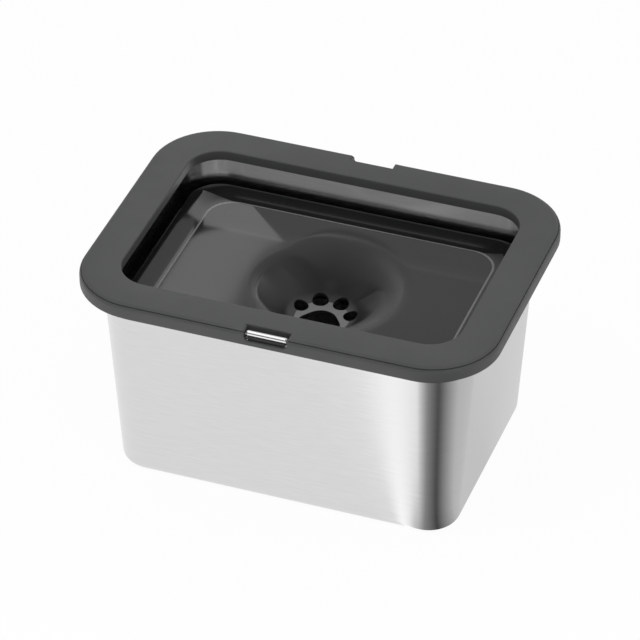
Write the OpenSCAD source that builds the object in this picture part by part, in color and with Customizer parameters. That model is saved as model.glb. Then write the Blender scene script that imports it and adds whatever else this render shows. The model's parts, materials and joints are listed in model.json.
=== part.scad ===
// No-spill dog bowl: a steel tank, a clip-on splash ring and a floating drinking tray with a paw-shaped
// drain. The origin is the centre of the base, X runs along the long front and Y points to the back.

/* [Overall] */
// Length of the splash ring, which is the longest size of the bowl
ring_length = 360; // [300:1:420]
// Width of the splash ring from front to back
ring_width = 270; // [240:1:330]
// Height from the floor to the top of the ring
bowl_height = 195; // [160:1:240]
// Corner radius of the ring in plan
ring_corner_r = 58.4; // [50:0.1:70]

/* [Ring cover] */
// Width of the flat band between the outer edge and the opening
ring_band = 33.4; // [31:0.1:42]
// Corner radius of the opening
opening_corner_r = 28.5; // [20:0.5:40]
// Thickness of the flat top
cover_thickness = 2.8; // [2:0.1:4]
// Height of the outer skirt, top face included
skirt_height = 13; // [11:0.5:18]
// Thickness of the outer skirt
skirt_wall = 2.8; // [2:0.1:3.4]
// Radius of the rounded outer top edge
edge_round = 5; // [3:0.1:6]
// Height of the lip that hangs down round the opening, top face included
lip_height = 9; // [6:0.5:14]
// Thickness of that lip
lip_wall = 2.4; // [1.6:0.1:3]
// Radius of the rounded top edge of the opening
lip_round = 1.2; // [0.6:0.1:1.5]

/* [Ring frame] */
// Step in plan from the outer edge of the cover to the frame's skirt
frame_step = 8.5; // [7.5:0.1:11]
// How far the frame's skirt reaches below the cover's skirt
frame_drop = 6.8; // [4:0.1:10]
// Thickness of the frame's skirt
frame_wall = 2.4; // [1.6:0.1:3]
// Thickness of the frame's web, under the cover
web_thickness = 2.2; // [1.6:0.1:3]
// Thickness of the rib that centres the ring in the mouth of the tank
rib_wall = 2; // [1.2:0.1:3]
// Depth of that rib below the web
rib_depth = 8; // [4:0.5:10]

/* [Seal] */
// Thickness of the seal between the frame and the rim of the tank
seal_thickness = 2; // [1:0.1:4]

/* [Tank] */
// Sheet thickness of the tank
tank_wall = 1; // [0.6:0.1:1.4]
// Step in plan from the ring's outer edge to the tank wall, level with the bottom of the ring's skirt
tank_step = 19.4; // [19:0.1:23]
// Slope of the tank walls from upright, in degrees
tank_draft = 3.86; // [1:0.1:6]
// Outer radius of the bend between the walls and the floor
tank_floor_round = 8; // [4:0.5:16]
// Width of the turned-out rim, from the wall to the outside of its curl
rim_width = 5; // [4.6:0.1:5.2]
// Outer radius of the curl at the edge of the rim
curl_r = 1.8; // [1.6:0.1:2]
// Inner radius of the bend where the wall turns out into the rim
turn_r = 1.2; // [0.8:0.1:1.6]
// Angle at which the curl ends, counted down from level, in degrees
curl_end = 140; // [60:5:150]

/* [Feet] */
// Diameter of each foot
foot_d = 24; // [14:1:34]
// Height of each foot below the tank
foot_height = 1.5; // [0.8:0.1:4]

/* [Notches] */
// Width of the finger notches at the front and back of the ring
notch_width = 37; // [37:0.5:44]
// Depth of the notches in plan, from the outer edge of the ring
notch_depth = 10.6; // [10:0.1:11]
// How far the bottom of the notches lies below the top of the ring
notch_drop = 7.7; // [7.4:0.1:8.4]
// Radius of the bottom corners of the notches
notch_corner_r = 4.5; // [2:0.1:6]
// Radius at which the ends of the notches run out into the top edge
notch_flare_r = 3; // [1:0.1:4]
// Wall round the back notch
pocket_wall = 2.4; // [1.6:0.1:2.6]

/* [Latch] */
// Diameter of the bright finger bar
bar_d = 4.9; // [4:0.1:5.2]
// Gap between each end of the finger bar and the side of its notch
bar_side_gap = 1; // [1:0.1:3]
// Distance from the ring's outer edge back to the axis of the bar
bar_setback = 5; // [4.6:0.1:5.4]
// Height of the bar's axis above the latch pin
bar_rise = 5; // [4.8:0.1:5.2]
// Diameter of the legs of the bar
leg_d = 3; // [2:0.1:3.2]
// Step in diameter from the finger bar to its rounded corners
corner_step = 0.2; // [0.1:0.05:0.6]
// Diameter of the latch pin
pin_d = 2; // [1.6:0.1:2.2]
// Distance from the ring's outer edge back to the latch pin
pin_setback = 5.4; // [5.2:0.1:5.5]
// Depth of the latch pin below the top of the ring
pin_depth = 9; // [8.9:0.1:9.2]
// Outer diameter of the latch lever round its pin
hub_d = 3.8; // [3.4:0.1:3.9]
// Width of the lever's nose, which presses against the curl of the tank's rim
nose_width = 19; // [10:1:24]
// Thickness of the nose at its tip
nose_tip = 1.4; // [1:0.1:1.6]
// Thickness of the nose at its root, on the pin
nose_root = 3.2; // [2:0.1:3.2]
// Height of the upper face of the nose above the pin, at its tip
nose_rise = 0.6; // [0.2:0.1:1]
// Thickness of the lever's web behind the finger bar
cradle_web = 1.6; // [1.2:0.1:2]
// Length of the spring round the middle of the latch pin
spring_length = 6; // [3:0.5:8]
// Sheet thickness of the latch bracket
bracket_sheet = 0.8; // [0.6:0.1:1]
// Distance from the bracket's screws to its ends
bracket_margin = 5.9; // [3:0.1:12]
// How far the bracket reaches below the cover's skirt
bracket_drop = 3; // [2:0.5:4]

/* [Screws] */
// Diameter of the screws that join the ring's cover and frame
screw_d = 2.6; // [2:0.1:3]
// Head diameter of those screws
screw_head_d = 5; // [4:0.1:5.4]
// Head height of those screws
screw_head_h = 1.6; // [1:0.1:2.4]
// Length of thread in the cover
screw_bite = 1.8; // [1:0.1:2.2]
// Distance of the screws from the middle of the long sides
screw_offset_x = 80; // [30:1:100]
// Distance of the screws from the middle of the short sides
screw_offset_y = 45; // [20:1:60]
// Diameter of the two screws of the latch bracket
bracket_screw_d = 2; // [1.6:0.1:2.4]
// Head diameter of the bracket screws
bracket_head_d = 4; // [3.4:0.1:4.4]
// Head height of the bracket screws
bracket_head_h = 1.2; // [0.8:0.1:1.6]

/* [Tray] */
// Depth of the tray's rim below the top of the ring, as it floats on a full tank
tray_depth = 37; // [28:1:50]
// How far the tray's rim reaches under the ring's lip at the left and right
tray_overlap_x = 1.9; // [1:0.1:5]
// How far the tray's rim reaches under the ring's lip at the front and back
tray_overlap_y = 4.9; // [2:0.1:6]
// Corner radius of the tray's rim
tray_corner_r = 28; // [22:0.5:34]
// Thickness of the tray
tray_wall = 2.2; // [1.6:0.1:3]
// Drop from the tray's rim to the edge of its floor
tray_bank_drop = 4; // [3:0.1:8]
// Width of the sloping bank at the left and right, from the rim to the floor
bank_width_x = 22; // [14:0.5:28]
// Width of the sloping bank at the front and back
bank_width_y = 18.5; // [12:0.5:24]
// Corner radius of the floor's edge
floor_corner_r = 23; // [14:0.5:30]
// Radius of the funnel where it meets the floor
funnel_r = 84; // [70:1:85]
// Radius of the flat bottom of the funnel
funnel_floor_r = 21; // [18:0.5:26]
// Depth of the funnel below the tray's floor
funnel_depth = 34.6; // [28:0.2:38]
// Radius of the bend at the bottom of the funnel
funnel_bend_r = 14; // [10:0.5:16]

/* [Float] */
// Wall thickness of the float chamber under the tray
float_wall = 2; // [1.4:0.1:3]
// Step in plan from the edge of the tray's floor to the float chamber
float_step = 3; // [2:0.5:8]
// How far the float chamber reaches below the funnel
float_drop = 4; // [1:0.1:6]
// Radius of the water passage through the float chamber
passage_r = 36; // [34:0.5:42]

/* [Paw holes] */
// Width of the two outer toes
outer_toe_width = 12.8; // [8:0.2:14]
// Width of the two inner toes
inner_toe_width = 14; // [8:0.2:15]
// Length of a toe, as a share of its width
toe_stretch = 0.95; // [0.8:0.05:1.2]
// Distance of the outer toes from the middle of the paw
outer_toe_reach = 24; // [23:0.2:26]
// Distance of the inner toes from the middle of the paw
inner_toe_reach = 24.2; // [24:0.2:27]
// Angle of the outer toes from the line to the back, in degrees
outer_toe_angle = 65; // [63:1:70]
// Angle of the inner toes from the line to the back, in degrees
inner_toe_angle = 22; // [20:1:24]
// Mean radius of the pad
pad_r = 13.2; // [10:0.2:14]
// How much the pad bulges at its three corners
pad_bulge = 1.4; // [0:0.1:2]
// Sideways stretch of the pad
pad_stretch = 1.32; // [1:0.02:1.4]
// Distance of the pad's middle in front of the middle of the tray
pad_shift = 3.4; // [2:0.1:5]

/* [Clearances] */
// Gap between two parts that lift apart or slide past each other
slide_gap = 0.6; // [0.4:0.05:0.7]
// Gap between the closed latch and the curl of the rim
latch_gap = 0.3; // [0.15:0.05:0.4]
// Radial gap between a pin or screw and its hole
bore_gap = 0.05; // [0.02:0.01:0.08]
// Gap between neighbouring parts of one assembly
part_gap = 0.4; // [0.2:0.05:0.4]
// Gap beside the latch's nose in its window
window_gap = 1; // [0.5:0.1:2]

/* [Hidden] */
$fn = 96;
overcut = 1;
sliver = 0.01;
least_round = 0.4;
toe_points = 24;
pad_points = 36;
bank_steps = 3;
bank_facets = 64;

half_x = ring_length / 2;
half_y = ring_width / 2;
skirt_z = bowl_height - skirt_height;
web_top = bowl_height - cover_thickness;
web_z = web_top - web_thickness;
rim_z = web_z - seal_thickness;
tank_z = foot_height;

opening_x = half_x - ring_band;
opening_y = half_y - ring_band;

// The tank's wall in plan, counted outward from the corner centres that it shares with the ring
mouth_r = ring_corner_r - tank_step;
function wall_r(z) = mouth_r - tan(tank_draft) * (skirt_z - z);
curl_x = wall_r(rim_z) + rim_width - curl_r;
curl_out = wall_r(rim_z) + rim_width;
curl_z = rim_z - curl_r;
curl_wall = min(tank_wall, curl_r - part_gap);

frame_r = ring_corner_r - frame_step;
rib_r = wall_r(rim_z - rib_depth) - tank_wall - slide_gap;
lip_out_x = opening_x + lip_wall;
lip_out_y = opening_y + lip_wall;
lip_out_r = opening_corner_r + lip_wall;

notch_y = half_y - notch_depth;
notch_z = bowl_height - notch_drop;
pocket_y = notch_y - pocket_wall;
pocket_z = notch_z - pocket_wall;
pocket_half = notch_width / 2 + pocket_wall;

pin_y = pin_setback - half_y;
pin_z = bowl_height - pin_depth;
bar_y = bar_setback - half_y;
bar_z = pin_z + bar_rise;
leg_x = notch_width / 2 - bar_side_gap - leg_d / 2;
eye_x = leg_x + leg_d / 2;
cam_half = leg_x - leg_d / 2 - part_gap / 2;
nose_y = ring_corner_r - half_y - curl_out - latch_gap;
ear_x = eye_x + part_gap + bracket_sheet / 2;
plate_y = frame_step - half_y - bracket_sheet;
window_half = nose_width / 2 + window_gap;
window_z = pin_z - nose_tip - slide_gap / 2;
bracket_screw_x = ear_x + bracket_sheet / 2 + bracket_head_d / 2 + part_gap;
bracket_half = bracket_screw_x + bracket_margin;
bracket_low = skirt_z - bracket_drop;
bracket_high = bar_z - bar_d / 2 - part_gap;
bracket_screw_z = (bracket_low + bracket_high) / 2;

tray_z = bowl_height - tray_depth;
tray_x = opening_x + tray_overlap_x;
tray_y = opening_y + tray_overlap_y;
floor_z = tray_z - tray_bank_drop;
floor_x = tray_x - bank_width_x;
floor_y = tray_y - bank_width_y;
funnel_z = floor_z - funnel_depth;
float_z = funnel_z - tray_wall - float_drop;
float_x = floor_x - float_step;
float_y = floor_y - float_step;
float_r = floor_corner_r - float_step;

screw_inset = (ring_corner_r - rib_r + rib_wall + ring_band - lip_wall) / 2;

// Points along an arc, from angle a to angle b
function arc(x, y, r, a, b, steps = 8) =
  [for (i = [0:steps]) let (t = a + (b - a) * i / steps) [x + r * cos(t), y + r * sin(t)]];

// Flat rounded rectangle
module rounded(hx, hy, r) {
  square([2 * (hx - r), 2 * hy], center = true);
  square([2 * hx, 2 * (hy - r)], center = true);
  for (sx = [-1, 1], sy = [-1, 1]) {
    translate([sx * (hx - r), sy * (hy - r)]) circle(r);
  }
}

// Sweeps a profile round a rounded rectangle; its x counts outward from the corner centres
module sweep(hx, hy, r) {
  cx = hx - r;
  cy = hy - r;
  corners = [[cx, cy], [-cx, cy], [-cx, -cy], [cx, -cy]];
  for (i = [0:3]) {
    translate(corners[i]) rotate([0, 0, 90 * i]) rotate_extrude(angle = 90) children();
  }
  for (turn = [0, 180]) {
    rotate([0, 0, turn]) translate([cx, cy, 0]) rotate([90, 0, 0]) linear_extrude(2 * cy) children();
    rotate([0, 0, turn + 90]) translate([cy, cx, 0]) rotate([90, 0, 0]) linear_extrude(2 * cx) children();
  }
}

// Bar along X between two distances from the middle
module along_x(y, z, r, half) {
  translate([-half, y, z]) rotate([0, 90, 0]) cylinder(r = r, h = 2 * half);
}

// Drawn sheet profile of the tank: floor, bend, wall, turned-out rim and open curl
module tank_profile() {
  bend_z = tank_z + tank_floor_round;
  bend_x = wall_r(bend_z) - tank_floor_round / cos(tank_draft);
  turn_z = rim_z - tank_wall - turn_r;
  turn_x = wall_r(turn_z) + turn_r / cos(tank_draft);
  polygon(concat(
    [[0, tank_z]],
    arc(bend_x, bend_z, tank_floor_round, -90, -tank_draft),
    arc(turn_x, turn_z, turn_r, 180 - tank_draft, 90, steps = 6),
    arc(curl_x, curl_z, curl_r - curl_wall, 90, -curl_end, steps = 14),
    arc(curl_x, curl_z, curl_r, -curl_end, 90, steps = 14),
    arc(turn_x, turn_z, turn_r + tank_wall, 90, 180 - tank_draft, steps = 6),
    arc(bend_x, bend_z, tank_floor_round - tank_wall, -tank_draft, -90),
    [[0, tank_z + tank_wall]]
  ));
}

module basin() {
  color("gainsboro") {
    sweep(half_x - ring_corner_r + mouth_r, half_y - ring_corner_r + mouth_r, mouth_r) tank_profile();
    translate([ring_corner_r - half_x, ring_corner_r - half_y, tank_z])
      cube([2 * (half_x - ring_corner_r), 2 * (half_y - ring_corner_r), tank_wall]);
  }
}

// One of four soft feet, stuck on under the corner centres of the tank
module foot(side_x, side_y) {
  color("dimgray")
    translate([side_x * (half_x - ring_corner_r), side_y * (half_y - ring_corner_r), 0])
      cylinder(d = foot_d, h = foot_height);
}

// Flat ring of soft seal on top of the tank's rim
module rim_seal() {
  outer = curl_out - part_gap;
  inner = rib_r + part_gap;
  color("dimgray") sweep(half_x, half_y, ring_corner_r)
    translate([inner, rim_z]) square([outer - inner, seal_thickness]);
}

// Outline of a finger notch seen from the front, with run-outs at its top corners
module notch_outline() {
  half = notch_width / 2;
  depth = notch_drop + overcut;
  translate([0, -notch_drop]) {
    translate([notch_corner_r - half, 0]) square([notch_width - 2 * notch_corner_r, depth]);
    translate([-half, notch_corner_r]) square([notch_width, depth - notch_corner_r]);
    for (side = [-1, 1]) {
      translate([side * (half - notch_corner_r), notch_corner_r]) circle(notch_corner_r);
    }
  }
  for (side = [-1, 1]) {
    difference() {
      translate([side * (half + notch_flare_r / 2), (overcut - notch_flare_r) / 2])
        square([notch_flare_r, notch_flare_r + overcut], center = true);
      translate([side * (half + notch_flare_r), -notch_flare_r]) circle(notch_flare_r);
    }
  }
}

// Space of a finger notch in the back of the ring
module notch_space() {
  translate([0, half_y + overcut, bowl_height]) rotate([90, 0, 0])
    linear_extrude(notch_depth + overcut) notch_outline();
}

// Skirt of the cover with its rounded top edge
module cover_edge_profile() {
  outer = ring_corner_r;
  inner = outer - skirt_wall;
  inner_round = max(edge_round - skirt_wall, least_round);
  polygon(concat(
    [[inner, skirt_z], [outer, skirt_z]],
    arc(outer - edge_round, bowl_height - edge_round, edge_round, 0, 90, 12),
    [[outer - edge_round - overcut, bowl_height], [outer - edge_round - overcut, web_top]],
    arc(inner - inner_round, web_top - inner_round, inner_round, 90, 0, 6)
  ));
}

// Lip round the opening, from its inner face outward
module cover_lip_profile() {
  inner = opening_corner_r;
  polygon(concat(
    [[inner + lip_wall, bowl_height - lip_height], [inner, bowl_height - lip_height]],
    arc(inner + lip_round, bowl_height - lip_round, lip_round, 180, 90, 6),
    [[inner + lip_wall, bowl_height]]
  ));
}

// Walls and floor of the closed notch at the back, below the flat top
module back_pocket() {
  reach = half_y - skirt_wall / 2 - pocket_y;
  height = web_top + cover_thickness / 2 - pocket_z;
  translate([-pocket_half, pocket_y, pocket_z]) cube([2 * pocket_half, reach, height]);
}

// Places something at each of the screws between cover and frame
module at_screws() {
  for (sx = [-1, 1], sy = [-1, 1]) {
    translate([sx * screw_offset_x, sy * (half_y - screw_inset), 0]) children();
    translate([sx * (half_x - screw_inset), sy * screw_offset_y, 0]) children();
  }
}

module lid_cover() {
  plate_r = ring_corner_r - edge_round;
  color("dimgray") difference() {
    union() {
      translate([0, 0, web_top]) linear_extrude(cover_thickness) difference() {
        rounded(half_x - edge_round, half_y - edge_round, plate_r);
        rounded(lip_out_x, lip_out_y, lip_out_r);
      }
      sweep(half_x, half_y, ring_corner_r) cover_edge_profile();
      sweep(opening_x, opening_y, opening_corner_r) cover_lip_profile();
      back_pocket();
    }
    notch_space();
    mirror([0, 1, 0]) notch_space();
    at_screws() translate([0, 0, web_top - overcut])
      cylinder(d = screw_d + 2 * bore_gap, h = screw_bite + bore_gap + overcut);
  }
}

// Frame under the cover: a flat web, the skirt that shows below the cover, and a centring rib
module lid_frame() {
  lap = frame_wall / 2;
  color("dimgray") difference() {
    union() {
      translate([0, 0, web_z]) linear_extrude(web_thickness) difference() {
        rounded(half_x - frame_step - lap, half_y - frame_step - lap, frame_r - lap);
        rounded(lip_out_x + part_gap, lip_out_y + part_gap, lip_out_r + part_gap);
      }
      sweep(half_x - frame_step, half_y - frame_step, frame_r)
        translate([frame_r - frame_wall, skirt_z - frame_drop])
          square([frame_wall, web_top - skirt_z + frame_drop]);
      sweep(half_x - frame_step, half_y - frame_step, frame_r)
        translate([rib_r - rib_wall, web_z - rib_depth]) square([rib_wall, rib_depth + web_thickness / 2]);
    }
    // Room for the pocket of the back notch
    translate([-pocket_half - part_gap, pocket_y - part_gap, pocket_z - part_gap])
      cube([2 * (pocket_half + part_gap), notch_depth + pocket_wall, notch_drop + 2 * pocket_wall]);
    // Room behind the finger bar
    translate([-notch_width / 2, -half_y, bracket_high])
      cube([notch_width, notch_depth, notch_drop + overcut]);
    // Window for the nose of the latch
    translate([-window_half, -half_y, window_z])
      cube([2 * window_half, frame_step + frame_wall + overcut, bracket_high - window_z + overcut]);
    at_screws() translate([0, 0, web_z - overcut])
      cylinder(d = screw_d + 2 * bore_gap, h = web_thickness + 2 * overcut);
    at_bracket_screws() cylinder(d = bracket_screw_d + 2 * bore_gap, h = frame_wall + overcut);
  }
}

module lid_screws() {
  color("silver") at_screws() {
    translate([0, 0, web_z - screw_head_h]) cylinder(d = screw_head_d, h = screw_head_h);
    translate([0, 0, web_z]) cylinder(d = screw_d, h = web_thickness + screw_bite);
  }
}

// Places something at the screws of the latch bracket, with its own Z pointing inward
module at_bracket_screws() {
  for (side = [-1, 1]) {
    translate([side * bracket_screw_x, frame_step - half_y, bracket_screw_z])
      rotate([-90, 0, 0]) children();
  }
}

// Sheet bracket on the frame's skirt, with two ears that hold the latch pin
module latch_bracket() {
  ear_low = pin_z - hub_d;
  ear_reach = half_y + plate_y - skirt_wall - slide_gap;
  color("silver") difference() {
    union() {
      translate([-bracket_half, plate_y, bracket_low])
        cube([2 * bracket_half, bracket_sheet, bracket_high - bracket_low]);
      for (side = [-1, 1]) {
        translate([side * ear_x - bracket_sheet / 2, plate_y - ear_reach, ear_low])
          cube([bracket_sheet, ear_reach + bracket_sheet / 2, bracket_high - ear_low]);
      }
    }
    translate([-window_half, plate_y - overcut, window_z])
      cube([2 * window_half, bracket_sheet + 2 * overcut, bracket_high - window_z + overcut]);
    along_x(pin_y, pin_z, pin_d / 2 + bore_gap, bracket_half);
    translate([0, -bracket_sheet - overcut, 0]) at_bracket_screws()
      cylinder(d = bracket_screw_d + 2 * bore_gap, h = bracket_sheet + 2 * overcut);
  }
}

module latch_bracket_screws() {
  color("silver") translate([0, -bracket_sheet, 0]) at_bracket_screws() {
    translate([0, 0, -bracket_head_h]) cylinder(d = bracket_head_d, h = bracket_head_h);
    cylinder(d = bracket_screw_d, h = bracket_sheet + frame_wall);
  }
}

module latch_pin() {
  color("silver") along_x(pin_y, pin_z, pin_d / 2, ear_x + bracket_sheet / 2 + part_gap);
}

// Dark lever block on the pin: a web that cradles the finger bar and a nose that presses on the rim
module latch_cam() {
  spring_half = spring_length / 2 + part_gap;
  color("dimgray") difference() {
    union() {
      along_x(pin_y, pin_z, hub_d / 2, cam_half);
      translate([-cam_half, (pin_y + bar_y - cradle_web) / 2, pin_z])
        cube([2 * cam_half, cradle_web, bar_rise]);
      translate([nose_width / 2, 0, 0]) rotate([0, -90, 0]) linear_extrude(nose_width)
        polygon([
          [pin_z - nose_root / 2, pin_y], [pin_z + nose_rise - nose_tip, nose_y],
          [pin_z + nose_rise, nose_y], [pin_z + nose_root / 2, pin_y]
        ]);
    }
    along_x(pin_y, pin_z, pin_d / 2 + bore_gap, cam_half + overcut);
    along_x(bar_y, bar_z, bar_d / 2, cam_half + overcut);
    translate([-spring_half, pin_y - hub_d, pin_z - hub_d])
      cube([2 * spring_half, 2 * hub_d, hub_d + bar_rise / 2]);
  }
}

// Bright wire of the latch: the finger bar, its two legs and the eyes on the pin
module latch_bail() {
  lean = atan2(pin_y - bar_y, bar_rise);
  color("white") difference() {
    union() {
      along_x(bar_y, bar_z, bar_d / 2, leg_x);
      for (side = [-1, 1]) {
        translate([side * leg_x, bar_y, bar_z]) sphere(d = bar_d - corner_step);
        translate([side * leg_x, pin_y, pin_z]) rotate([lean, 0, 0])
          cylinder(d = leg_d, h = bar_rise / cos(lean));
        translate([side * leg_x - leg_d / 2, pin_y, pin_z])
          rotate([0, 90, 0]) cylinder(d = hub_d, h = leg_d);
      }
    }
    along_x(pin_y, pin_z, pin_d / 2 + bore_gap, eye_x + overcut);
  }
}

// Coil of the spring that closes the latch, as a plain sleeve round the pin
module latch_spring() {
  color("silver") difference() {
    along_x(pin_y, pin_z, hub_d / 2, spring_length / 2);
    along_x(pin_y, pin_z, pin_d / 2 + bore_gap, spring_length / 2 + overcut);
  }
}

// Height of the funnel above its flat bottom: a bend outward and a wider bend back to the floor
funnel_lean = 2 * atan2(funnel_depth, funnel_r - funnel_floor_r);
flare_r = (funnel_r - funnel_floor_r) / sin(funnel_lean) - funnel_bend_r;
function funnel_line(grow) = concat(
  arc(funnel_floor_r, funnel_z + funnel_bend_r, funnel_bend_r + grow, -90, funnel_lean - 90),
  arc(funnel_r, floor_z - flare_r, flare_r - grow, 90 + funnel_lean, 90)
);

// Solid of the funnel up to a level, with its surface moved down by a wall thickness
module funnel_solid(grow, top) {
  rotate_extrude() polygon(concat(
    [[0, funnel_z - grow]], funnel_line(grow), [[funnel_r, top], [0, top]]
  ));
}

// One toe hole, as the outline of an ellipse
module toe_outline(width) {
  polygon([
    for (i = [1:toe_points]) let (t = 360 * i / toe_points)
      [width / 2 * cos(t), width / 2 * toe_stretch * sin(t)]
  ]);
}

module paw_outline() {
  toes = [
    [outer_toe_angle, outer_toe_reach, outer_toe_width],
    [inner_toe_angle, inner_toe_reach, inner_toe_width]
  ];
  for (toe = toes, side = [-1, 1]) {
    rotate(side * toe[0]) translate([0, toe[1]]) toe_outline(toe[2]);
  }
  translate([0, -pad_shift]) polygon([
    for (i = [1:pad_points]) let (t = 360 * i / pad_points, r = pad_r - pad_bulge * sin(3 * t))
      [pad_stretch * r * cos(t), r * sin(t)]
  ]);
}

// The bank between rim and floor differs in width, so each level of it is its own rounded rectangle
module bank_level(t) {
  curve = 1 - (1 - t) * (1 - t);
  x = tray_x - tray_wall - t * (bank_width_x - tray_wall);
  y = tray_y - tray_wall - t * (bank_width_y - tray_wall);
  r = tray_corner_r - tray_wall + t * (floor_corner_r - tray_corner_r + tray_wall);
  translate([0, 0, tray_z - curve * tray_bank_drop])
    linear_extrude(sliver) rounded(x, y, r, $fn = bank_facets);
}

module bank_space() {
  for (i = [0:bank_steps - 1]) {
    hull() {
      bank_level(i / bank_steps);
      bank_level((i + 1) / bank_steps);
    }
  }
}

module tray_dish() {
  rim_thickness = tray_bank_drop + tray_wall;
  color("dimgray") difference() {
    union() {
      translate([0, 0, tray_z - rim_thickness]) linear_extrude(rim_thickness)
        rounded(tray_x, tray_y, tray_corner_r);
      funnel_solid(tray_wall, floor_z - tray_wall / 2);
    }
    bank_space();
    funnel_solid(0, tray_z + overcut);
    translate([0, 0, funnel_z - tray_wall - overcut]) linear_extrude(funnel_depth) paw_outline();
  }
}

// Sealed float chamber under the tray, with a passage for the water below the paw
module tray_float() {
  top = floor_z - tray_wall;
  color("dimgray") difference() {
    translate([0, 0, float_z]) linear_extrude(top - float_z) rounded(float_x, float_y, float_r);
    translate([0, 0, float_z + float_wall]) linear_extrude(top - float_z) difference() {
      rounded(float_x - float_wall, float_y - float_wall, float_r - float_wall);
      circle(passage_r + float_wall);
    }
    translate([0, 0, float_z - overcut]) cylinder(r = passage_r, h = top - float_z + 2 * overcut);
    funnel_solid(tray_wall, top + overcut);
  }
}

basin();
foot(-1, -1);  // foot_front_left
foot(1, -1);  // foot_front_right
foot(-1, 1);  // foot_rear_left
foot(1, 1);  // foot_rear_right
rim_seal();
lid_cover();
lid_frame();
lid_screws();
latch_bracket();
latch_bracket_screws();
latch_pin();
latch_cam();
latch_bail();
latch_spring();
tray_dish();
tray_float();
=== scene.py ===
# Looks of the no-spill dog bowl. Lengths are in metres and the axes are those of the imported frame.
import json
import math

import bmesh
import bpy
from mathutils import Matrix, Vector


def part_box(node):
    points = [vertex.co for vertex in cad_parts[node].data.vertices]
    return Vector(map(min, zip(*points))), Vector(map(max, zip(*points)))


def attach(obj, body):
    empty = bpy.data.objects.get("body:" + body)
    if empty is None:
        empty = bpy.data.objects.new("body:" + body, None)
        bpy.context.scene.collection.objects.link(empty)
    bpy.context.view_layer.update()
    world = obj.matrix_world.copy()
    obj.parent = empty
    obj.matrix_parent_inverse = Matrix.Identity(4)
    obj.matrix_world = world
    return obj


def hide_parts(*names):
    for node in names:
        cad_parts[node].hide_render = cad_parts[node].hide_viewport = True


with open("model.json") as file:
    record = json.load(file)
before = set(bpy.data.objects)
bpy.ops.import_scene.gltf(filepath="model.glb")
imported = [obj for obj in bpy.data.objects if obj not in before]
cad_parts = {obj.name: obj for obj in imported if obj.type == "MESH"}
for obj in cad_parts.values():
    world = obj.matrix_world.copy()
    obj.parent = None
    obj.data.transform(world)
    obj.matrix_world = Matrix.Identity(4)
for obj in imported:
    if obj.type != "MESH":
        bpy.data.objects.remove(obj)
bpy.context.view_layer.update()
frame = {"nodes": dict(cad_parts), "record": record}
MM = 0.001

# Angles in degrees over which an edge stays sharp, on most pieces and on the tray
SHARP, TRAY_SHARP = 35, 30

# Photo camera; right and up are its shifts, along its own axes, from the centre of the base
CAMERA_AZIMUTH = math.radians(19.731919)
CAMERA_ELEVATION = math.radians(36.365763)
CAMERA_DISTANCE = 3.6635776
CAMERA_LENS = 241.94
CAMERA_SENSOR = 36
CAMERA_REACH = 50
CAMERA_RIGHT = -0.00139258
CAMERA_UP = 0.09473338

# Ring, read from the frame where it can be
RING_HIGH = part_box("lid_cover")[1]
HALF_X, HALF_Y, TOP_Z = RING_HIGH
SKIRT_Z = TOP_Z - 13 * MM
RING_R = 58.4 * MM
RING_WIDTH = 33.4 * MM
OPENING_X, OPENING_Y = HALF_X - RING_WIDTH, HALF_Y - RING_WIDTH
OPENING_R = 28.5 * MM

# Finger notches: reach in X and Y, then the depth and the rounding of the left shoulder at the front and back,
# the rounding of the right shoulder, of the corners inside and of the cut's edges, and the pocket at the back
NOTCH_HALF = 18.5 * MM
NOTCH_INNER, NOTCH_OUTER = 124.4 * MM, 137 * MM
NOTCH_FRONT = (9.6 * MM, 3 * MM)
NOTCH_BACK = (7.7 * MM, 5.5 * MM)
NOTCH_SHOULDER = 1.6 * MM
NOTCH_CORNER = 4.5 * MM
NOTCH_BEVEL = 0.35 * MM
POCKET_OUTER = 133.6 * MM
POCKET_TOP = 1.4 * MM

# Tank: draft in degrees, wall, and how far its mouth is inside the ring's outline
TANK_DRAFT = 3.86
TANK_WALL = 1 * MM
TANK_INSET = 19.4 * MM

# Tray, read from the frame where it can be
TRAY_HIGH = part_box("tray_dish")[1]
TRAY_X, TRAY_Y, TRAY_Z = TRAY_HIGH
TRAY_R = 28 * MM
TRAY_WALL = 2.2 * MM
BANK_DROP = 4 * MM
FLOOR_X, FLOOR_Y = TRAY_X - 22 * MM, TRAY_Y - 18.5 * MM
FLOOR_Z = TRAY_Z - BANK_DROP
FLOOR_R = 23 * MM

# Funnel: radius of its mouth and of the mouth's edge at the left, at the right, and at the front and back
FUNNEL_LEFT = (61 * MM, 11 * MM)
FUNNEL_RIGHT = (77 * MM, 42 * MM)
FUNNEL_LONG = (84 * MM, 60 * MM)
# Degrees from the X axis at which one turns into the other: the first and how many
FUNNEL_TURN = (38, 42)
FUNNEL_FLOOR_R = 21 * MM
FUNNEL_BEND_R = 14 * MM
FUNNEL_DEPTH = 34.6 * MM

# Paw in millimetres: angle, reach and width of each pair of toes, the toes' length as a share of their width, and
# the pad's radius, the depth of its lobes, its width as a share of its length and its shift to the front
TOES = ((65, 24, 12.8), (22, 24.2, 14))
TOE_LENGTH = 0.95
PAD_R, PAD_LOBES, PAD_WIDTH, PAD_SHIFT = 13.2, 1.4, 1.32, 3.4

# Satin inside of the funnel: its middle in X, how Y counts in its radius, where it fades and how rough it is
SATIN_X = 8 * MM
SATIN_STRETCH = 0.85
SATIN_START, SATIN_END = 52 * MM, 70 * MM
SATIN_ROUGHNESS = 0.24

# Light of the world on matt surfaces, and what shiny ones see: places from the front, 0, to the back, 1
WORLD_LIGHT = 0.62
WORLD_GLOSS = ((0.05, 0.14), (0.2, 0.2), (0.35, 0.36), (0.5, 0.5), (0.62, 0.56), (0.88, 0.56), (1.0, 0.6))

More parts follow.
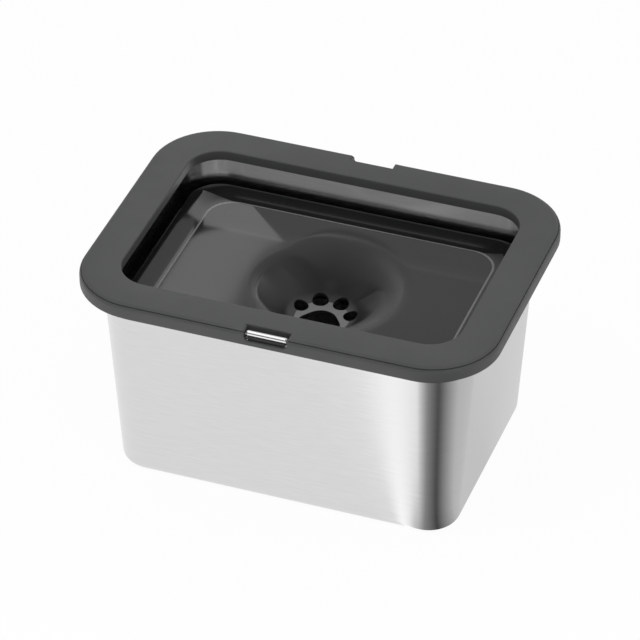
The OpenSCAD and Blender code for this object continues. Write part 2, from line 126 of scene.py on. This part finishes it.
# Large lamps: place, size and power
KEY = ((-0.8, -0.9, 1.8), 1.2, 10)
FILL = ((1.2, -0.6, 1.4), 1.2, 6)
LAMP_AIM = (0, 0, 0.15)

# Lit panel that the tray's floor shows, as outlines in millimetres on that floor: its main and its front part
PANEL = ((-150, -40), (-61, -48.7), (-61, 23), (-57, 33), (-46.7, 44.2), (-94, 88), (-94, 130), (-150, 130))
FRONT_PANEL = ((-150, -130), (-61, -130), (-61, -48.7), (-150, -40))
PANEL_AWAY = 450
PANEL_LEVEL = 1.41
FRONT_PANEL_LEVEL = 1.45
DIM_LEVEL = 0.54

# Small lamp behind the tray's floor, for what the floor sees in place of the ring's lip: two corners in
# millimetres, its spread, how much that adds where the floor sees it, and the line in X and Z over which it is
# as bright as the panel, with the half width of its edge as a share of the lamp's height
FLOOR_GLOW = ((-140.2, 91, 156.5), (128, 91, 186.9))
FLOOR_GLOW_SPREAD = math.radians(130)
FLOOR_GLOW_GAIN = 1.27
FLOOR_GLOW_LINE = ((-95.1, 156.3), (-63.5, 190.6))
FLOOR_GLOW_EDGE = 0.01

# Other small lamps: two corners in millimetres, level, which way they face and how far they spread
GLOWS = {
    "steel_glow": ((-138, 99.4, 159), (120, 99.4, 184), 0.19, -1, math.pi),
    "bank_glow": ((-136, 88, 185.4), (136, 105, 185.4), 0.22, 1, math.pi / 2),
    "funnel_glow": ((-40, 24, 128), (40, 24, 151), 0.2, 1, math.pi),
    "bar_glow": ((-42, -190, 240), (5, -110, 240), 0.9, 1, math.pi),
}

# Card round the tank's front right corner: angle and level of each step, in degrees from the front
CORNER_LEVELS = ((-45, 1), (-34, 1.02), (-25, 1.4), (-17, 1.2), (-10, 0.8), (10, 0.3), (38, 0.07), (62, 0.34),
                 (92, 0.64), (125, 0.67), (160, 0.67), (180, 0.92))
CORNER_PEAK = 1.4
CORNER_REACH = 700
CORNER_LIFT = 0.3 * MM


def arc(cx, cz, radius, start, end, steps):
    """Points along an arc, with its angles in degrees."""
    angles = [math.radians(start + (end - start) * i / steps) for i in range(steps + 1)]
    return [(cx + radius * math.cos(a), cz + radius * math.sin(a)) for a in angles]


def loop(half_x, half_y, radius, z, corner_steps=16, long_steps=24, short_steps=18):
    """Rounded rectangle as a list of points; with the same steps, every loop has as many."""
    cx, cy = half_x - radius, half_y - radius
    centres = [(cx, cy), (-cx, cy), (-cx, -cy), (cx, -cy)]
    side_steps = [long_steps, short_steps, long_steps, short_steps]
    points = []
    for i, (x, y) in enumerate(centres):
        for k in range(corner_steps + 1):
            a = math.radians(90 * (i + k / corner_steps))
            points.append(Vector((x + radius * math.cos(a), y + radius * math.sin(a), z)))
        a = math.radians(90 * (i + 1))
        start = points[-1]
        nx, ny = centres[(i + 1) % 4]
        end = Vector((nx + radius * math.cos(a), ny + radius * math.sin(a), z))
        points += [start.lerp(end, k / side_steps[i]) for k in range(1, side_steps[i])]
    return points


def add_object(name, data):
    obj = bpy.data.objects.new(name, data)
    bpy.context.scene.collection.objects.link(obj)
    return obj


def mesh_object(name, bm):
    """Object from a bmesh, with its faces turned outwards."""
    bmesh.ops.recalc_face_normals(bm, faces=bm.faces)
    mesh = bpy.data.meshes.new(name)
    bm.to_mesh(mesh)
    bm.free()
    return add_object(name, mesh)


def piece(name, loops, body, slot, close=False, cap_start=False, cap_end=False, painted_highlight_bands=()):
    """Mesh skinned over loops of points, riding on a body; the listed bands take the second material, a lighter
    plastic that is painted highlight.
    """
    bm = bmesh.new()
    rings = [[bm.verts.new(p) for p in points] for points in loops]
    pairs = list(zip(rings, rings[1:] + rings[:1])) if close else list(zip(rings, rings[1:]))
    count = len(rings[0])
    for band, (low, high) in enumerate(pairs):
        for i in range(count):
            j = (i + 1) % count
            face = bm.faces.new((low[i], low[j], high[j], high[i]))
            face.material_index = 1 if band in painted_highlight_bands else 0
    if cap_start:
        bm.faces.new(list(reversed(rings[0]))).material_index = 1 if 0 in painted_highlight_bands else 0
    if cap_end:
        bm.faces.new(rings[-1])
    bmesh.ops.remove_doubles(bm, verts=bm.verts, dist=1e-6)
    obj = mesh_object(name, bm)
    obj.data.materials.append(MATERIALS[slot])
    shade(obj, SHARP)
    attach(obj, body)
    return obj


def shade(obj, angle):
    """Smooth shading with edges kept sharp above an angle in degrees."""
    obj.data.shade_smooth()
    obj.data.set_sharp_from_angle(angle=math.radians(angle))


def upright(x, y, z):
    return Vector((x, y, z))


def prism(name, outline, place, low, high):
    """Solid from an outline; place turns a point and a height into a position."""
    bm = bmesh.new()
    rings = [[bm.verts.new(place(x, y, h)) for x, y in outline] for h in (low, high)]
    count = len(outline)
    for i in range(count):
        j = (i + 1) % count
        bm.faces.new((rings[0][i], rings[0][j], rings[1][j], rings[1][i]))
    bm.faces.new(rings[0])
    bm.faces.new(rings[1])
    return mesh_object(name, bm)


def combine(obj, others, operation, bevel=0.0):
    """Cuts solids out of a piece or joins them to it, rounds the new edges and keeps the result as its mesh."""
    for other in others:
        mod = obj.modifiers.new("combine", "BOOLEAN")
        mod.operation = operation
        mod.solver = "EXACT"
        mod.object = other
    if bevel:
        mod = obj.modifiers.new("round", "BEVEL")
        mod.width = bevel
        mod.segments = 2
        mod.limit_method = "ANGLE"
        mod.angle_limit = math.radians(40)
        mod.use_clamp_overlap = False
        mod.harden_normals = False
    bpy.context.view_layer.update()
    mesh = bpy.data.meshes.new_from_object(obj.evaluated_get(bpy.context.evaluated_depsgraph_get()))
    obj.modifiers.clear()
    obj.data = mesh
    for other in others:
        bpy.data.objects.remove(other)


class Nodes:
    """Short hand for building the node tree of a world, lamp or material."""

    def __init__(self, owner):
        owner.use_nodes = True
        self.tree = owner.node_tree

    def add(self, kind, inputs=None, **settings):
        node = self.tree.nodes.new(kind)
        for key, value in settings.items():
            setattr(node, key, value)
        for key, value in (inputs or {}).items():
            if isinstance(value, bpy.types.NodeSocket):
                self.tree.links.new(value, node.inputs[key])
            else:
                node.inputs[key].default_value = value
        return node

    def maths(self, operation, *values):
        return self.add("ShaderNodeMath", dict(enumerate(values)), operation=operation).outputs["Value"]

    def mix(self, share, first, second):
        return self.add("ShaderNodeMix", {0: share, 2: first, 3: second}, data_type="FLOAT").outputs[0]

    def levels(self, value, steps):
        """Grey that follows steps, each a place along the value and a level."""
        ramp = self.add("ShaderNodeValToRGB", {"Fac": value})
        elements = ramp.color_ramp.elements
        for position, grey in steps:
            elements.new(position).color = (grey, grey, grey, 1)
        elements.remove(elements[0])
        elements.remove(elements[-1])
        return ramp.outputs["Color"]


class Coat(Nodes):
    """Short hand for building a material on the Principled shader."""

    def __init__(self, name):
        self.material = bpy.data.materials.new(name)
        super().__init__(self.material)
        self.shader = self.tree.nodes["Principled BSDF"]

    def coordinates(self, scale):
        place = self.add("ShaderNodeTexCoord").outputs["Object"]
        return self.add("ShaderNodeMapping", {"Vector": place, "Scale": scale}).outputs["Vector"]

    def noise(self, vector, scale, detail, roughness=0.5):
        inputs = {"Vector": vector, "Scale": scale, "Detail": detail, "Roughness": roughness}
        return self.add("ShaderNodeTexNoise", inputs).outputs["Fac"]

    def around(self, value, middle, swing):
        """Turns a noise value into a number that swings around a middle."""
        inputs = {"Value": value, "From Min": 0.3, "From Max": 0.7,
                  "To Min": middle - swing, "To Max": middle + swing}
        return self.add("ShaderNodeMapRange", inputs).outputs["Result"]

    def tint(self, value, dark, light):
        ramp = self.add("ShaderNodeValToRGB", {"Fac": value})
        for element, position, color in zip(ramp.color_ramp.elements, (0.3, 0.7), (dark, light)):
            element.position = position
            element.color = (*color, 1)
        return ramp.outputs["Color"]

    def bump(self, height, strength, distance):
        inputs = {"Height": height, "Strength": strength, "Distance": distance}
        self.set("Normal", self.add("ShaderNodeBump", inputs).outputs["Normal"])

    def set(self, name, value):
        if isinstance(value, bpy.types.NodeSocket):
            self.tree.links.new(value, self.shader.inputs[name])
        else:
            self.shader.inputs[name].default_value = value


def moulded(name, dark, light, rough, specular=0.5):
    """Moulded plastic or rubber: a slight tone variation and a fine grain."""
    n = Coat(name)
    place = n.coordinates((1, 1, 1))
    n.set("Base Color", n.tint(n.noise(place, scale=14, detail=4), dark, light))
    n.set("Roughness", n.around(n.noise(place, scale=60, detail=3), rough, swing=0.03))
    n.set("Specular IOR Level", specular)
    n.bump(n.noise(place, scale=2600, detail=2), strength=0.15, distance=0.04 * MM)
    return n.material


def steel(name, dark, light, rough, stretch, depth):
    """Brushed steel: fine streaks along the directions in which the noise is stretched."""
    n = Coat(name)
    n.set("Metallic", 1.0)
    streaks = n.noise(n.coordinates(stretch), scale=900, detail=2, roughness=0.6)
    n.set("Base Color", n.tint(streaks, dark, light))
    n.set("Roughness", n.around(streaks, rough, swing=0.03))
    n.bump(streaks, depth, distance=0.02 * MM)
    return n.material


def glossy_tray(name, dark, light, rough):
    """Glossy moulded plastic with a very slight unevenness, satin inside the funnel."""
    n = Coat(name)
    place = n.coordinates((1, 1, 1))
    n.set("Base Color", n.tint(n.noise(place, scale=18, detail=3), dark, light))
    uneven = n.around(n.noise(place, scale=45, detail=3), rough, swing=0.015)
    inputs = {0: n.coordinates((1, SATIN_STRETCH, 0)), 1: (SATIN_X, 0, 0)}
    middle = n.add("ShaderNodeVectorMath", inputs, operation="SUBTRACT").outputs["Vector"]
    away = n.add("ShaderNodeVectorMath", {0: middle}, operation="LENGTH").outputs["Value"]
    inputs = {"Value": away, "From Min": SATIN_START, "From Max": SATIN_END,
              "To Min": SATIN_ROUGHNESS, "To Max": 0}
    satin = n.add("ShaderNodeMapRange", inputs, interpolation_type="SMOOTHSTEP").outputs["Result"]
    n.set("Roughness", n.maths("ADD", uneven, satin))
    n.set("IOR", 1.6)
    n.bump(n.noise(place, scale=30, detail=2), strength=0.05, distance=0.1 * MM)
    return n.material


def grey(level):
    return (level, level, level)


# Stretch of the streaks on brushed steel: round the walls, along X and none
ROUND, ALONG, EVEN = (0.05, 0.05, 1), (0.05, 1, 1), (1, 1, 1)
MATERIALS = {
    "steel": steel("steel", grey(0.66), grey(0.7), rough=0.2, stretch=ROUND, depth=0.02),
    "foot_rubber": moulded("foot_rubber", grey(0.045), grey(0.055), rough=0.7),
    "seal": moulded("seal", grey(0.05), grey(0.06), rough=0.65),
    "ring_plastic": moulded("ring_plastic", (0.061, 0.063, 0.063), (0.067, 0.069, 0.069), rough=0.5),
    "fastener": steel("fastener", grey(0.5), grey(0.56), rough=0.3, stretch=EVEN, depth=0.03),
    "bracket_steel": steel("bracket_steel", grey(0.5), grey(0.56), rough=0.3, stretch=ALONG, depth=0.03),
    "lever_plastic": moulded("lever_plastic", grey(0.02), grey(0.026), rough=0.4),
    "bright_wire": steel("bright_wire", grey(0.78), grey(0.82), rough=0.1, stretch=EVEN, depth=0.01),
    "tray_plastic": glossy_tray("tray_plastic", (0.013, 0.0135, 0.0135), (0.016, 0.0165, 0.0165), rough=0.12),
    # Lighter plastic for the drain's bottom and the floor's crease line: painted highlight and reflection
    "tray_painted_highlight": glossy_tray("tray_painted_highlight", (0.15, 0.152, 0.154), (0.2, 0.202, 0.204), rough=0.3),
    "float_plastic": moulded("float_plastic", grey(0.01), grey(0.014), rough=0.6, specular=0.3),
}


def dress_nodes():
    """Gives each carried-over CAD node the material of its slot."""
    slots = {part["node"]: part["material_slot"] for part in frame["record"]["subparts"]}
    for name, obj in frame["nodes"].items():
        obj.data.materials.clear()
        obj.data.materials.append(MATERIALS[slots[name]])


def make_tank():
    """Drawn steel tank: floor, bend, sloping wall, turned-out rim and open curl."""
    slope = math.tan(math.radians(TANK_DRAFT))
    lean = math.cos(math.radians(TANK_DRAFT))
    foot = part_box("basin")[0].z
    rim_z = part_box("basin")[1].z
    mouth_r = RING_R - TANK_INSET
    bend_r, turn_r, curl_r, rim_width = 8 * MM, 1.2 * MM, 1.8 * MM, 5 * MM

    def wall_r(z):
        return mouth_r - slope * (SKIRT_Z - z)

    bend_z = foot + bend_r
    bend_x = wall_r(bend_z) - bend_r / lean
    turn_z = rim_z - TANK_WALL - turn_r
    turn_x = wall_r(turn_z) + turn_r / lean
    curl_x, curl_z = wall_r(rim_z) + rim_width - curl_r, rim_z - curl_r
    outside = [(0, foot)] + arc(bend_x, bend_z, bend_r, -90, -TANK_DRAFT, 14)
    outside += arc(turn_x, turn_z, turn_r, 180 - TANK_DRAFT, 90, 6)
    outside += arc(curl_x, curl_z, curl_r - TANK_WALL, 90, -140, 12)
    inside = arc(curl_x, curl_z, curl_r, -140, 90, 14)
    inside += arc(turn_x, turn_z, turn_r + TANK_WALL, 90, 180 - TANK_DRAFT, 6)
    inside += arc(bend_x, bend_z, bend_r - TANK_WALL, -TANK_DRAFT, -90, 14) + [(0, foot + TANK_WALL)]
    cx, cy = HALF_X - RING_R, HALF_Y - RING_R
    loops = [loop(cx + out, cy + out, out, z, corner_steps=24, long_steps=8, short_steps=8)
             for out, z in outside + inside]
    tank = piece("steel_tank", loops, "tank", "steel", cap_start=True, cap_end=True)
    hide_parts("basin")


def notch_outline(drop, shoulder):
    """Outline of a finger notch in X and height over the top, with its own shoulder at the left end."""
    over = 1 * MM

    def end(flare):
        corner = min(NOTCH_CORNER, drop - flare)
        points = [(NOTCH_HALF + flare, over)] + arc(NOTCH_HALF + flare, -flare, flare, 90, 180, 10)
        return points + arc(NOTCH_HALF - corner, corner - drop, corner, 0, -90, 10)

    return end(NOTCH_SHOULDER) + [(-x, z) for x, z in reversed(end(shoulder))]


def make_cover():
    """Top shell of the ring: skirt, rounded edge, flat top, lip round the opening and two finger notches."""
    skirt_wall, thick, edge, lip_wall, lip_drop = 2.8 * MM, 2.8 * MM, 5 * MM, 2.4 * MM, 9 * MM
    lip_round, small, flat = 1.2 * MM, 0.5 * MM, 8 * MM
    groove, groove_half = 1.1 * MM, 4.5

    def outer(inset, z):
        return loop(HALF_X - inset, HALF_Y - inset, RING_R - inset, z)

    def inner(outset, z):
        return loop(OPENING_X + outset, OPENING_Y + outset, OPENING_R + outset, z)

    def round_outer(inset, z, radius, start, end, steps):
        return [outer(inset - x, z + h) for x, h in arc(0, 0, radius, start, end, steps)]

    def round_inner(outset, z, radius, start, end, steps):
        return [inner(outset + x, z + h) for x, h in arc(0, 0, radius, start, end, steps)]

    under = TOP_Z - thick
    inside_round = edge - skirt_wall
    loops = round_outer(small, SKIRT_Z + small, small, -90, 0, 4)
    loops += round_outer(edge, TOP_Z - edge, edge, 0, 45 - groove_half, 6)
    loops += round_outer(edge, TOP_Z - edge, edge - groove, 45 - groove_half, 45 + groove_half, 2)
    loops += round_outer(edge, TOP_Z - edge, edge, 45 + groove_half, 90, 6)
    loops += [outer(edge + flat, TOP_Z)]
    loops += round_inner(lip_round, TOP_Z - lip_round, lip_round, 90, 180, 6)
    loops += round_inner(small, TOP_Z - lip_drop + small, small, 180, 270, 4)
    loops += [inner(lip_wall, TOP_Z - lip_drop), inner(lip_wall, under)]
    loops += round_outer(edge, under - inside_round, inside_round, 90, 0, 6)
    loops += [outer(skirt_wall, SKIRT_Z)]
    cover = piece("ring_cover", loops, "lid", "ring_plastic", close=True)
    add_pocket(cover)
    cutters = [
        prism("notch", notch_outline(*shape), lambda x, z, y: Vector((x, side * y, TOP_Z + z)),
              NOTCH_INNER, NOTCH_OUTER)
        for side, shape in ((-1, NOTCH_FRONT), (1, NOTCH_BACK))
    ]
    combine(cover, cutters, "DIFFERENCE", NOTCH_BEVEL)
    for vertex in cover.data.vertices:
        vertex.co.z = min(vertex.co.z, TOP_Z)
    shade(cover, SHARP)
    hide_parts("lid_cover")


def add_pocket(cover):
    """Walls of the closed notch at the back, joined to the cover."""
    wall = 2.4 * MM
    half, inner = NOTCH_HALF + wall, NOTCH_INNER - wall
    outline = [(-half, inner), (half, inner), (half, POCKET_OUTER), (-half, POCKET_OUTER)]
    low, high = TOP_Z - NOTCH_BACK[0] - wall, TOP_Z - POCKET_TOP
    combine(cover, [prism("pocket", outline, upright, low, high)], "UNION")


def funnel_reach(turn):
    """Radius of the funnel's mouth and of the mouth's edge at an angle round the funnel."""
    start, width = FUNNEL_TURN
    swing = math.degrees(math.acos(min(abs(math.cos(turn)), 1)))
    blend = min(max((swing - start) / width, 0), 1)
    blend = blend * blend * (3 - 2 * blend)
    side = FUNNEL_LEFT if math.cos(turn) < 0 else FUNNEL_RIGHT
    return [a + blend * (b - a) for a, b in zip(side, FUNNEL_LONG)]


def funnel_profile(grow, reach, edge):
    """Radius and height of the funnel from its flat bottom up to the floor, moved down by a wall."""
    run = reach - FUNNEL_FLOOR_R
    bottom = FLOOR_Z - FUNNEL_DEPTH
    inside = max(run * run - FUNNEL_DEPTH * (2 * (FUNNEL_BEND_R + edge) - FUNNEL_DEPTH), 0)
    lean = 2 * math.degrees(math.atan2(FUNNEL_DEPTH, run + math.sqrt(inside)))
    low = arc(FUNNEL_FLOOR_R, bottom + FUNNEL_BEND_R, FUNNEL_BEND_R + grow, -90, lean - 90, 16)
    high = arc(reach, FLOOR_Z - edge, edge - grow, 90 + lean, 90, 24)
    steps = 12
    between = [tuple(a + (b - a) * k / steps for a, b in zip(low[-1], high[0])) for k in range(1, steps)]
    return low + between + high


def bank_share(t):
    """Share of the bank's drop: a rounded brow, an even slope and a small hollow where it meets the floor."""
    brow, foot = 0.3, 0.35
    slope = 1 / (1 - brow / 2 - foot / 2)
    if t < brow:
        return slope * t * t / (2 * brow)
    if t < 1 - foot:
        return slope * (t - brow / 2)
    return 1 - slope * (1 - t) ** 2 / (2 * foot)


def bank_loop(t):
    """Outline of the tray's bank between the rim, t = 0, and the floor, t = 1."""
    x = TRAY_X + t * (FLOOR_X - TRAY_X)
    y = TRAY_Y + t * (FLOOR_Y - TRAY_Y)
    radius = TRAY_R + t * (FLOOR_R - TRAY_R)
    return loop(x, y, radius, TRAY_Z - BANK_DROP * bank_share(t))


def make_tray():
    """Floating tray: rim, bank, floor and funnel in one moulding, with the paw cut through it."""
    turns = [math.atan2(p.y, p.x) for p in loop(TRAY_X, TRAY_Y, TRAY_R, TRAY_Z)]

    def funnel_loops(grow):
        profiles = [funnel_profile(grow, *funnel_reach(a)) for a in turns]
        return [
            [Vector((r * math.cos(a), r * math.sin(a), z)) for (r, z), a in zip(row, turns)]
            for row in zip(*profiles)
        ]

    edge, floor_bands, bank_bands = 0.8 * MM, 6, 40
    loops = funnel_loops(0)
    inner_edge = loops[-1]
    outer_edge = loop(FLOOR_X, FLOOR_Y, FLOOR_R, FLOOR_Z)
    loops += [[a.lerp(b, k / floor_bands) for a, b in zip(inner_edge, outer_edge)]
              for k in range(1, floor_bands)]
    # The drain's flat bottom and the line round the floor take a lighter plastic that is painted highlight and
    # reflection
    painted_highlight_bands = [0, 1, 2] + [len(loops), len(loops) + 1, len(loops) + 2]
    loops += [bank_loop(i / bank_bands) for i in range(bank_bands, 0, -1)]
    loops += [loop(TRAY_X - edge + x, TRAY_Y - edge + x, TRAY_R - edge + x, TRAY_Z - edge + h)
              for x, h in arc(0, 0, edge, 90, 0, 4)]
    loops += [loop(TRAY_X, TRAY_Y, TRAY_R, FLOOR_Z - TRAY_WALL)]
    loops += list(reversed(funnel_loops(TRAY_WALL)))
    tray = piece("floating_tray", loops, "tray", "tray_plastic", cap_start=True, cap_end=True, painted_highlight_bands=painted_highlight_bands)
    tray.data.materials.append(MATERIALS["tray_painted_highlight"])
    combine(tray, paw_cutters(), "DIFFERENCE")
    shade(tray, TRAY_SHARP)
    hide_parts("tray_dish")


def paw_cutters():
    """Prisms of the four toes and the pad."""
    below, under_floor, steps = 8 * MM, 2 * MM, 48
    low, high = FLOOR_Z - FUNNEL_DEPTH - below, FLOOR_Z - under_floor
    shapes = []
    for angle, reach, width in TOES:
        for side in (-1, 1):
            turn = math.radians(side * angle)
            outline = []
            for i in range(steps):
                a = 2 * math.pi * i / steps
                x = width / 2 * math.cos(a)
                y = reach + width / 2 * TOE_LENGTH * math.sin(a)
                outline.append((x * math.cos(turn) - y * math.sin(turn),
                                x * math.sin(turn) + y * math.cos(turn)))
            shapes.append(outline)
    pad = []
    for i in range(2 * steps):
        a = math.pi * i / steps
        radius = PAD_R - PAD_LOBES * math.sin(3 * a)
        pad.append((PAD_WIDTH * radius * math.cos(a), radius * math.sin(a) - PAD_SHIFT))
    shapes.append(pad)
    return [prism("hole", [(x * MM, y * MM) for x, y in shape], upright, low, high) for shape in shapes]


def make_lever_front():
    """Dark hood of the latch lever, in front of and over the spring, below the finger bar; in millimetres. It is
    part of the lever and also painted shade: a dark sheet that closes the space under the bar so that it reads as
    shadow.
    """
    half, front, back, low, high, soft, wall = 15.8, -132.05, -128.6, 184.4, 188.6, 0.5, 0.4
    outline = [(front, low)] + [(front + soft - y, high - soft + z) for y, z in arc(0, 0, soft, 0, 90, 5)]
    outline += [(back, high), (back, high - wall), (front + wall, high - wall), (front + wall, low)]
    loops = [[Vector((x, y, z)) * MM for y, z in outline] for x in (-half, half)]
    piece("lever_front", loops, "latch", "lever_plastic", cap_start=True, cap_end=True)


def camera_place():
    """Direction behind the photo camera, and its place."""
    a, e = CAMERA_AZIMUTH, CAMERA_ELEVATION
    back = Vector((math.sin(a) * math.cos(e), -math.cos(a) * math.cos(e), math.sin(e)))
    right = Vector((math.cos(a), math.sin(a), 0))
    return back, right * CAMERA_RIGHT + back.cross(right) * CAMERA_UP + back * CAMERA_DISTANCE


def add_camera():
    data = bpy.data.cameras.new("camera")
    camera = add_object("camera", data)
    data.lens = CAMERA_LENS
    data.sensor_width = CAMERA_SENSOR
    data.clip_end = CAMERA_REACH
    back, camera.location = camera_place()
    camera.rotation_mode = "QUATERNION"
    camera.rotation_quaternion = (-back).to_track_quat("-Z", "Y")
    bpy.context.scene.camera = camera


def add_floor():
    """Plain white floor, nearly as bright as the background to the camera and to shiny surfaces."""
    mesh = bpy.data.meshes.new("floor")
    size, white = 12, 0.95
    corners = [(-size, -size, 0), (size, -size, 0), (size, size, 0), (-size, size, 0)]
    mesh.from_pydata(corners, [], [(0, 1, 2, 3)])
    floor = add_object("floor", mesh)
    n = Coat("floor")
    n.set("Base Color", (white, white, white, 1))
    n.set("Roughness", 1)
    n.set("Specular IOR Level", 0)
    rays = n.add("ShaderNodeLightPath").outputs
    seen = n.maths("MAXIMUM", rays["Is Camera Ray"], rays["Is Glossy Ray"])
    seen = n.maths("MAXIMUM", seen, rays["Is Transmission Ray"])
    glow = n.add("ShaderNodeEmission", {"Strength": 1.0}).outputs["Emission"]
    inputs = {"Fac": n.maths("MULTIPLY", seen, white), 1: n.shader.outputs["BSDF"], 2: glow}
    mixed = n.add("ShaderNodeMixShader", inputs).outputs["Shader"]
    n.tree.links.new(mixed, n.tree.nodes["Material Output"].inputs["Surface"])
    mesh.materials.append(n.material)


def add_world():
    """White to the camera, grey to shiny surfaces and an even soft light on everything else."""
    world = bpy.data.worlds.new("studio")
    bpy.context.scene.world = world
    n = Nodes(world)
    background = n.tree.nodes["Background"]
    background.inputs["Color"].default_value = (1, 1, 1, 1)
    rays = n.add("ShaderNodeLightPath").outputs
    place = n.add("ShaderNodeTexCoord").outputs["Generated"]
    depth = n.add("ShaderNodeSeparateXYZ", {"Vector": place}).outputs["Y"]
    depth = n.add("ShaderNodeMapRange", {"Value": depth, "From Min": -1}).outputs["Result"]
    shiny = n.mix(rays["Is Glossy Ray"], WORLD_LIGHT, n.levels(depth, WORLD_GLOSS))
    n.tree.links.new(n.mix(rays["Is Camera Ray"], shiny, 1.0), background.inputs["Strength"])


def emission(name, strength, turns=()):
    """White glow, or grey levels that follow the angle round the object's middle, as shares of a turn."""
    material = bpy.data.materials.new(name)
    n = Nodes(material)
    n.tree.nodes.clear()
    glow = n.add("ShaderNodeEmission", {"Strength": strength})
    if turns:
        place = n.add("ShaderNodeTexCoord").outputs["Object"]
        turn = n.add("ShaderNodeTexGradient", {"Vector": place}, gradient_type="RADIAL").outputs["Fac"]
        n.tree.links.new(n.levels(turn, turns), glow.inputs["Color"])
    n.add("ShaderNodeOutputMaterial", {"Surface": glow.outputs["Emission"]})
    return material


def add_card(name, points, material):
    """Lit card, as an outline in millimetres, that only shiny surfaces see."""
    mesh = bpy.data.meshes.new(name)
    mesh.from_pydata([Vector(p) * MM for p in points], [], [list(range(len(points)))])
    card = add_object(name, mesh)
    mesh.materials.append(material)
    card.visible_camera = False
    card.visible_diffuse = False
    card.visible_shadow = False
    card.visible_transmission = False
    return card


def add_panel(name, outline, level):
    """Lit card in the place where the photo camera sees it as an outline on the tray's floor."""
    floor = FLOOR_Z / MM
    eye = camera_place()[1] / MM
    eye.z = 2 * floor - eye.z
    spots = [Vector((x, y, floor)) for x, y in outline]
    points = [spot + (spot - eye).normalized() * PANEL_AWAY for spot in spots]
    add_card(name, points, emission(name, level))


def add_corner_card():
    """Card on the floor, fanned round the front right corner of the tank, that gives it its dark band."""
    turns = [((angle + 90) / 360, level / CORNER_PEAK) for angle, level in CORNER_LEVELS]
    fan = [(0, 0, 0)]
    for angle in range(-45, 185, 5):
        a = math.radians(angle)
        fan.append((CORNER_REACH * math.sin(a), -CORNER_REACH * math.cos(a), 0))
    card = add_card("corner_card", fan, emission("corner_card", CORNER_PEAK, turns))
    card.location = (HALF_X - RING_R, RING_R - HALF_Y, CORNER_LIFT)


def add_glow(name, low, high, level, facing, spread):
    """Small soft lamp that only shiny surfaces see, between two corners in millimetres.

    An upright one faces the front, or the back where facing is -1. A level one faces down."""
    data = bpy.data.lights.new(name, "AREA")
    data.shape = "RECTANGLE"
    middle, size = (Vector(low) + Vector(high)) / 2 * MM, (Vector(high) - Vector(low)) * MM
    upright = size.z > size.y
    data.size, data.size_y = size.x, size.z if upright else size.y
    data.energy = math.pi * data.size * data.size_y * level
    data.spread = spread
    lamp = add_object(name, data)
    lamp.location = middle
    lamp.rotation_euler = (-math.pi / 2 * facing if upright else 0, 0, 0)
    lamp.visible_camera = False
    lamp.visible_diffuse = False
    lamp.visible_transmission = False
    return data


def dim_under(data, low, high, share, start, end):
    """Dims an upright lamp to a share of its level under a line between two points in X and Z."""
    width, height = high[0] - low[0], high[2] - low[2]
    slope = (end[1] - start[1]) / (end[0] - start[0])
    n = Nodes(data)
    place = n.add("ShaderNodeNewGeometry").outputs["Parametric"]
    place = n.add("ShaderNodeSeparateXYZ", {"Vector": place}).outputs
    at_left = 1 - (start[1] - low[2] + slope * (low[0] - start[0])) / height
    line = n.maths("MULTIPLY_ADD", place["X"], -slope * width / height, at_left)
    inputs = {"Value": n.maths("SUBTRACT", line, place["Y"]), "To Min": share,
              "From Min": -FLOOR_GLOW_EDGE, "From Max": FLOOR_GLOW_EDGE}
    level = n.add("ShaderNodeMapRange", inputs).outputs["Result"]
    n.tree.links.new(level, n.tree.nodes["Emission"].inputs["Strength"])


def add_floor_glow():
    """Lamp that goes on with the panel where the tray's floor would show the ring's lip."""
    data = add_glow("floor_glow", *FLOOR_GLOW, PANEL_LEVEL / FLOOR_GLOW_GAIN, 1, FLOOR_GLOW_SPREAD)
    dim_under(data, *FLOOR_GLOW, DIM_LEVEL / PANEL_LEVEL, *FLOOR_GLOW_LINE)


def add_lamp(name, place, size, power):
    """Large soft lamp, aimed at the bowl, that shiny surfaces don't see."""
    data = bpy.data.lights.new(name, "AREA")
    data.shape = "SQUARE"
    data.size = size
    data.energy = power
    lamp = add_object(name, data)
    lamp.location = place
    lamp.rotation_mode = "QUATERNION"
    lamp.rotation_quaternion = (Vector(LAMP_AIM) - Vector(place)).to_track_quat("-Z", "Y")
    lamp.visible_glossy = False


add_camera()
add_floor()
add_world()
add_lamp("key", *KEY)
add_lamp("fill", *FILL)
add_panel("tray_card", PANEL, PANEL_LEVEL)
add_panel("front_card", FRONT_PANEL, FRONT_PANEL_LEVEL)
add_floor_glow()
for glow, settings in GLOWS.items():
    add_glow(glow, *settings)
add_corner_card()
dress_nodes()
make_tank()
make_cover()
make_tray()
make_lever_front()

view = bpy.context.scene.view_settings
view.view_transform = "Standard"
